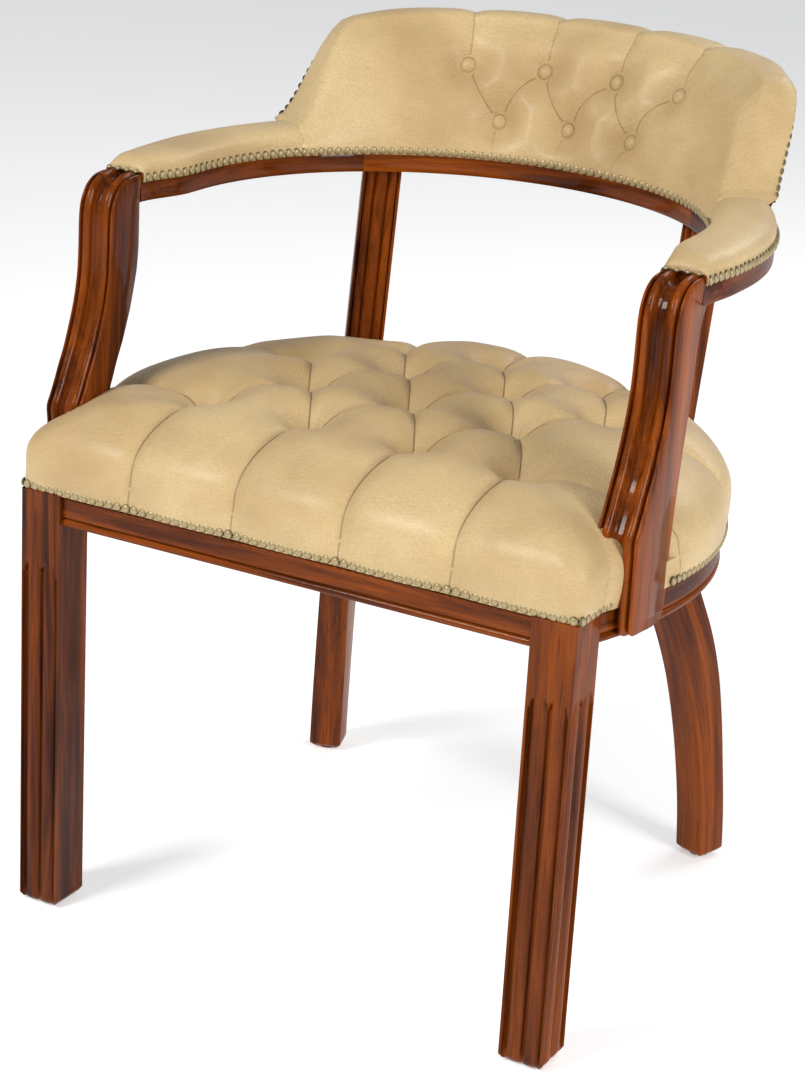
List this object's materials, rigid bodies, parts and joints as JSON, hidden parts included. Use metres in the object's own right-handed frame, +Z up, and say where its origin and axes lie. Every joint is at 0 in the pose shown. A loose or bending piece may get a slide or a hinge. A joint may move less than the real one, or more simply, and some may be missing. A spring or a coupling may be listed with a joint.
{
  "type": "upholstered armchair",
  "caption": "Upholstered armchair with a fluted mahogany frame, deep-buttoned leather seat, horseshoe arm rail with padded arms and a low buttoned wrap-around back.",
  "frame": {"origin": "on the floor, in the middle of the chair's width and depth", "axes": "+Z up, +Y towards the back, +X to the right seen from the front"},
  "size_m": [0.633, 0.591, 0.8075],
  "materials": {
    "mahogany": "glossy red-brown stain with visible grain",
    "beech": "bare wood",
    "tan_leather": "fine-grained tan leather, satin",
    "foam": "upholstery foam",
    "antique_brass": "antique brass, darkened in the joints",
    "steel": "bright zinc",
    "glide": "moulded nylon",
    "webbing": "woven jute",
    "lining": "black non-woven cloth"
  },
  "bodies": {
    "root": {"arm_nails": "antique_brass", "arm_pad_cover_left": "tan_leather", "arm_pad_cover_right": "tan_leather", "arm_pad_foam_left": "foam", "arm_pad_foam_right": "foam", "arm_post_left": "mahogany", "arm_post_right": "mahogany", "arm_rail_left": "mahogany", "arm_rail_right": "mahogany", "back_board": "mahogany", "back_buttons": "tan_leather", "back_cover": "tan_leather", "back_foam": "foam", "back_post_left": "mahogany", "back_post_right": "mahogany", "back_seat_rail": "mahogany", "bow_centre_rail": "mahogany", "corner_block_left": "beech", "corner_block_right": "beech", "dust_cover": "lining", "foot_glides": "glide", "frame_dowels": "beech", "frame_screws": "steel", "front_leg_left": "mahogany", "front_leg_right": "mahogany", "front_seat_rail": "mahogany", "outside_back_nails": "antique_brass", "outside_back_panel": "tan_leather", "rear_leg_left": "mahogany", "rear_leg_right": "mahogany", "seat_buttons": "tan_leather", "seat_cover": "tan_leather", "seat_foam": "foam", "seat_nails": "antique_brass", "seat_rail_dowels": "beech", "seat_webbing": "webbing", "side_seat_rail_left": "mahogany", "side_seat_rail_right": "mahogany"}
  },
  "joints": []
}
